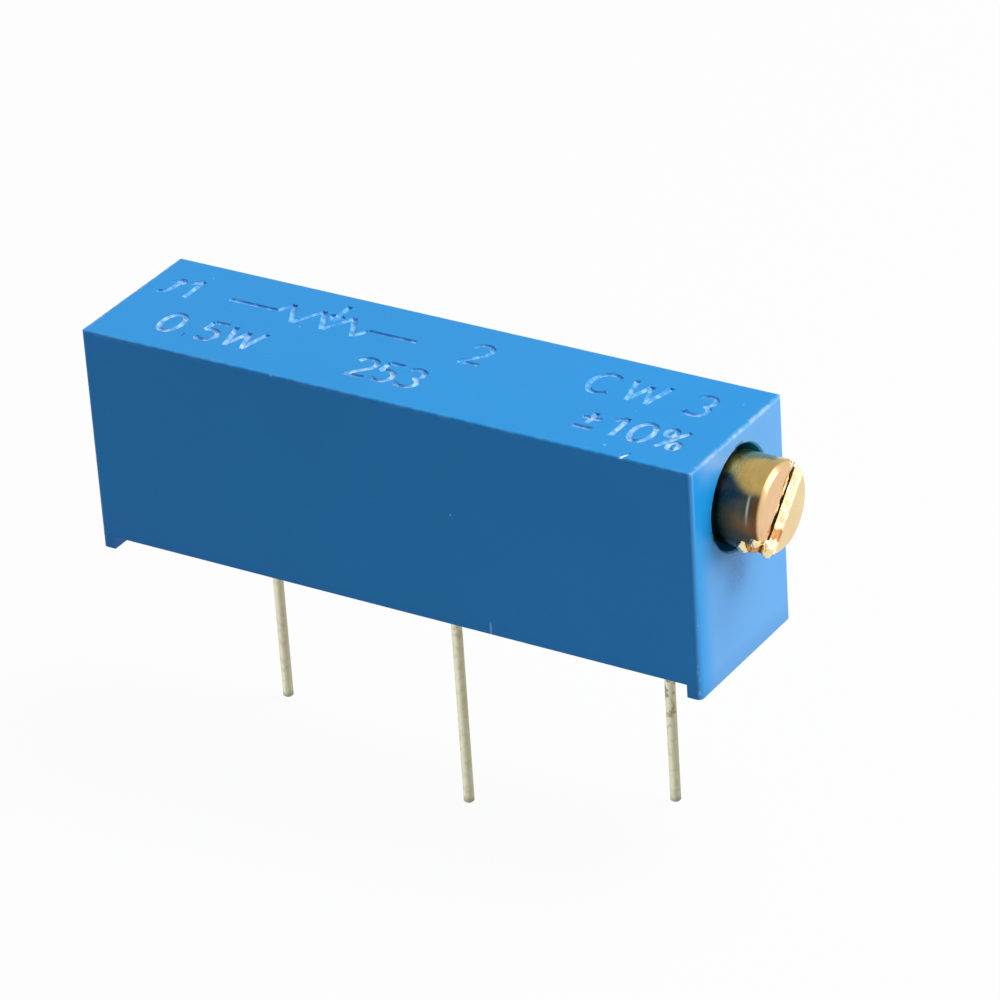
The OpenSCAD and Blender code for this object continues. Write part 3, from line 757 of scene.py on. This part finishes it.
def turned_brass():
    material, tree, shader = new_material("turned_brass")
    place, axes = places(tree)
    rings = noise(tree, stretched(tree, place, (1.0, 0.06, 0.06)), scale=14000.0, detail=3.0)
    patches = noise(tree, place, scale=1500.0, detail=4.0)
    darker_part = ramp(tree, patches, 0.42, 0.66)
    # Moves the borders of the painted reflections on the barrel, of the painted shade in the slot and of the
    # red-brown at its mouth about, so that none runs straight
    shift = span(tree, patches, -0.15 * MM, 0.3 * MM)
    depth = value_of(tree, "SUBTRACT", head_x, axes["X"])
    across = distance_along(tree, place, slot_across)
    along = distance_along(tree, place, slot_along)
    behind = ramp(tree, depth, 0.06 * MM, 0.14 * MM)
    face = brass_face(tree, rings, across)
    base = mixed_colour(tree, behind, face, barrel_reflections(tree, axes, rings, shift, depth))
    in_slot = product(
        tree, ramp(tree, value_of(tree, "ABSOLUTE", across), slot_half + 0.010 * MM, slot_half + 0.004 * MM),
        ramp(tree, depth, slot_depth + 0.03 * MM, slot_depth + 0.01 * MM),
        ramp(tree, depth, 0.004 * MM, 0.010 * MM),
    )
    base = mixed_colour(tree, in_slot, base, slot_wall(tree, rings, shift, depth, along))
    stained = product(tree, darker_part, span(tree, behind, 0.12, 0.20))
    base = mixed_colour(tree, stained, base, brass_stain)
    feed(tree, base, shader.inputs["Base Color"])
    shader.inputs["Metallic"].default_value = 1.0
    rough = value_of(tree, "ADD", span(tree, darker_part, 0.20, 0.16), product(tree, in_slot, 0.40))
    feed(tree, rough, shader.inputs["Roughness"])
    normal = bump(tree, rings, depth=0.006 * MM, strength=0.5)
    normal = bump(tree, patches, depth=0.03 * MM, strength=0.5, normal=normal)
    feed(tree, normal, shader.inputs["Normal"])
    return material


def torn_brass(name, dark, light, roughness):
    """Freshly torn metal, red-brown in one place near the lower mouth of the slot."""
    material, tree, shader = new_material(name)
    surface = grain(tree, grain_scale=6000.0, wave_scale=2600.0)
    base = mixed_colour(tree, surface["Wave"], dark, light)
    place = add_node(tree, "ShaderNodeTexCoord").outputs["Object"]
    along = distance_along(tree, place, slot_along)
    along = value_of(tree, "ADD", along, product(tree, surface["Grain"], 0.35 * MM))
    stain = ramp(tree, distance(tree, along, -0.50 * MM), 0.20 * MM, 0.12 * MM)
    base = mixed_colour(tree, product(tree, stain, 0.85), base, tear_stain)
    feed(tree, base, shader.inputs["Base Color"])
    shader.inputs["Metallic"].default_value = 1.0
    shader.inputs["Roughness"].default_value = roughness
    feed(tree, bump(tree, surface["Grain"], depth=0.01 * MM, strength=0.6), shader.inputs["Normal"])
    return material


finish_node("adjusting_screw", turned_brass())
fresh_brass = torn_brass("torn_brass", (0.88, 0.62, 0.26), (1.0, 0.88, 0.60), 0.30)
stained_brass = torn_brass("stained_brass", (0.45, 0.25, 0.09), (0.85, 0.57, 0.32), 0.36)
browned_brass = torn_brass("browned_brass", (0.40, 0.16, 0.04), (0.80, 0.42, 0.13), 0.34)
tear = bpy.data.textures.new("tear", "CLOUDS")
tear.noise_scale = 0.16 * MM
tear.noise_depth = 2


def tear_up(piece, strength, finish):
    """Makes the surface of a burr ragged, and fixes the burr to the screw."""
    rough = piece.modifiers.new("torn", "DISPLACE")
    rough.texture = tear
    rough.texture_coords = "LOCAL"
    rough.mid_level = 0.5
    rough.strength = strength
    select_only(piece)
    bpy.ops.object.modifier_apply(modifier=rough.name)
    piece.data.materials.append(finish)
    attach(piece, "screw")


def slot_lip(name, across, depth, size, slope, tear_strength, finish):
    """A burr along one side of the slot: a thin bar laid on the edge at a slope, then torn."""
    bpy.ops.object.select_all(action="DESELECT")
    bpy.ops.mesh.primitive_cube_add(size=1.0, location=(0.0, 0.0, 0.0))
    lip = bpy.context.object
    lip.name = name
    thick, wide = size
    # As long as the head is wide there, and a little short of its rim at both ends
    chord = 2 * math.sqrt(head_r ** 2 - across ** 2) - 0.12 * MM
    middle = head_middle + slot_across * across + Vector((-depth, 0.0, 0.0))
    bpy.ops.object.mode_set(mode="EDIT")
    bpy.ops.transform.resize(value=(thick, chord, wide))
    bpy.ops.mesh.subdivide(number_cuts=3)
    bpy.ops.object.mode_set(mode="OBJECT")
    cuts = 36
    for i in range(1, cuts):
        pick_faces(lip, lambda face: True)
        bpy.ops.mesh.bisect(plane_co=(0, -chord / 2 + chord * i / cuts, 0), plane_no=(0, 1, 0))
        bpy.ops.object.mode_set(mode="OBJECT")
    pick_faces(lip, lambda face: True)
    bpy.ops.transform.rotate(value=slope, orient_axis="Y", center_override=(0.0, 0.0, 0.0))
    bpy.ops.transform.rotate(value=-slot_turn, orient_axis="X", center_override=(0.0, 0.0, 0.0))
    bpy.ops.transform.translate(value=middle)
    bpy.ops.object.mode_set(mode="OBJECT")
    tear_up(lip, tear_strength, finish)


def slot_chip(name, back, along, across, size, turn, finish):
    """A chip of brass pushed out at the mouth of the slot."""
    bpy.ops.object.select_all(action="DESELECT")
    bpy.ops.mesh.primitive_ico_sphere_add(subdivisions=3, radius=1.0, location=(0.0, 0.0, 0.0))
    chip = bpy.context.object
    chip.name = name
    middle = head_middle + slot_along * along + slot_across * across + Vector((-back, 0.0, 0.0))
    bpy.ops.object.mode_set(mode="EDIT")
    bpy.ops.transform.resize(value=size)
    bpy.ops.transform.rotate(value=turn, orient_axis="X", center_override=(0.0, 0.0, 0.0))
    bpy.ops.transform.translate(value=middle)
    bpy.ops.object.mode_set(mode="OBJECT")
    tear_up(chip, 0.14 * MM, finish)


slot_lip("slot_burr_near", slot_half, 0.05 * MM, (0.10 * MM, 0.10 * MM), 0.0, 0.19 * MM, stained_brass)
slot_lip("slot_burr_far", -slot_half + 0.08 * MM, 0.09 * MM, (0.08 * MM, 0.26 * MM), math.radians(45),
         0.045 * MM, fresh_brass)
for number, back, along, across, size, turn, finish in (
    (1, 0.64, -1.16, 0.20, (0.20, 0.20, 0.27), 0.4, fresh_brass),
    (2, 0.38, -1.17, 0.22, (0.20, 0.18, 0.27), -0.3, browned_brass),
    (3, 0.09, -1.16, -0.08, (0.15, 0.15, 0.26), 0.1, fresh_brass),
    (4, 0.24, -1.11, 0.44, (0.16, 0.15, 0.19), 0.2, fresh_brass),
):
    size = tuple(half * MM for half in size)
    slot_chip(f"mouth_chip_{number}", back * MM, along * MM, across * MM, size, turn, finish)

# ---- Seal and clip ----
# A silicone ring in a groove of the screw seals the bore. Behind it a fork blanked from
# sheet steel stands in grooves of the side walls, straddles the screw and takes its thrust.


def plain_finish(name, colour, metallic, roughness, scale, depth):
    """A finish with fine grain, for the pieces inside the housing."""
    dark = tuple(c * 0.8 for c in colour)
    light = tuple(min(1.0, c * 1.2) for c in colour)
    return grained_finish(name, dark, light, metallic, roughness, (scale, scale / 12), depth, 0.5)


silicone_seal = plain_finish("silicone_seal", (0.02, 0.02, 0.022), 0.0, 0.5, 6000.0, 0.004 * MM)
blanked_steel = plain_finish("blanked_steel", (0.55, 0.56, 0.58), 1.0, 0.35, 12000.0, 0.003 * MM)
finish_node("seal_ring", silicone_seal)
finish_node("retaining_clip", blanked_steel)

# ---- Carriage and wiper ----
# A black moulding that rides on the screw, and a comb of fine sprung fingers in a precious
# metal alloy, staked to its underside.

black_moulding = plain_finish("black_moulding", (0.03, 0.03, 0.033), 0.0, 0.5, 9000.0, 0.003 * MM)
contact_alloy = plain_finish("contact_alloy", (0.72, 0.55, 0.28), 1.0, 0.28, 12000.0, 0.002 * MM)
finish_node("carriage", black_moulding)
finish_node("wiper_contact", contact_alloy)

# ---- Floor and light ----
# A white floor just under the tips of the pins, one broad lamp overhead and another off to
# the right, and an even sky that lights the shadows with a little blue.

floor_z = cad_box[0][2] - 0.02 * MM
bpy.ops.mesh.primitive_plane_add(size=3.0, location=(0.006, 0.0, floor_z))
floor = bpy.context.object
floor.name = "floor"


def white_floor():
    material, tree, shader = new_material("white_floor")
    shader.inputs["Base Color"].default_value = (0.60, 0.60, 0.60, 1.0)
    shader.inputs["Roughness"].default_value = 0.9
    shader.inputs["Specular IOR Level"].default_value = 0.0
    glow = add_node(tree, "ShaderNodeEmission")
    glow.inputs["Color"].default_value = (1.0, 1.0, 1.0, 1.0)
    # Looked at straight, in a reflection or through glass, the floor is near white
    path = add_node(tree, "ShaderNodeLightPath").outputs
    seen = value_of(tree, "MAXIMUM", path["Is Camera Ray"], path["Is Glossy Ray"])
    seen = value_of(tree, "MAXIMUM", seen, path["Is Transmission Ray"])
    mix = add_node(tree, "ShaderNodeMixShader")
    feed(tree, product(tree, seen, 0.95), mix.inputs[0])
    feed(tree, shader.outputs[0], mix.inputs[1])
    feed(tree, glow.outputs[0], mix.inputs[2])
    feed(tree, mix.outputs[0], tree.nodes["Material Output"].inputs["Surface"])
    return material


floor.data.materials.append(white_floor())

world = bpy.data.worlds.new("studio")
bpy.context.scene.world = world
world.use_nodes = True
sky = world.node_tree.nodes["Background"]
path = add_node(world.node_tree, "ShaderNodeLightPath").outputs
seen = value_of(world.node_tree, "MAXIMUM", path["Is Camera Ray"], path["Is Glossy Ray"])
tint = mixed_colour(world.node_tree, seen, (0.66, 0.70, 1.04), (1.0, 1.0, 1.0))
feed(world.node_tree, tint, sky.inputs["Color"])
feed(world.node_tree, span(world.node_tree, seen, 0.28, 0.62), sky.inputs["Strength"])

body_middle = Vector((6.35, -1.27, 3.0)) * MM


def lamp(name, place, size, power, colour=(1.0, 1.0, 1.0)):
    place = Vector(place) * MM
    turn = (place - body_middle).to_track_quat("Z", "Y").to_euler()
    bpy.ops.object.light_add(type="AREA", location=place, rotation=turn)
    light = bpy.context.object
    light.name = name
    light.data.shape = "SQUARE"
    light.data.size = size * MM
    light.data.energy = power
    light.data.color = colour


lamp("key_lamp", (90.0, 60.0, 230.0), 160.0, 0.64, (1.0, 1.0, 0.95))
lamp("side_lamp", (230.0, 90.0, 70.0), 140.0, 0.50)

bpy.context.scene.view_settings.view_transform = "Standard"
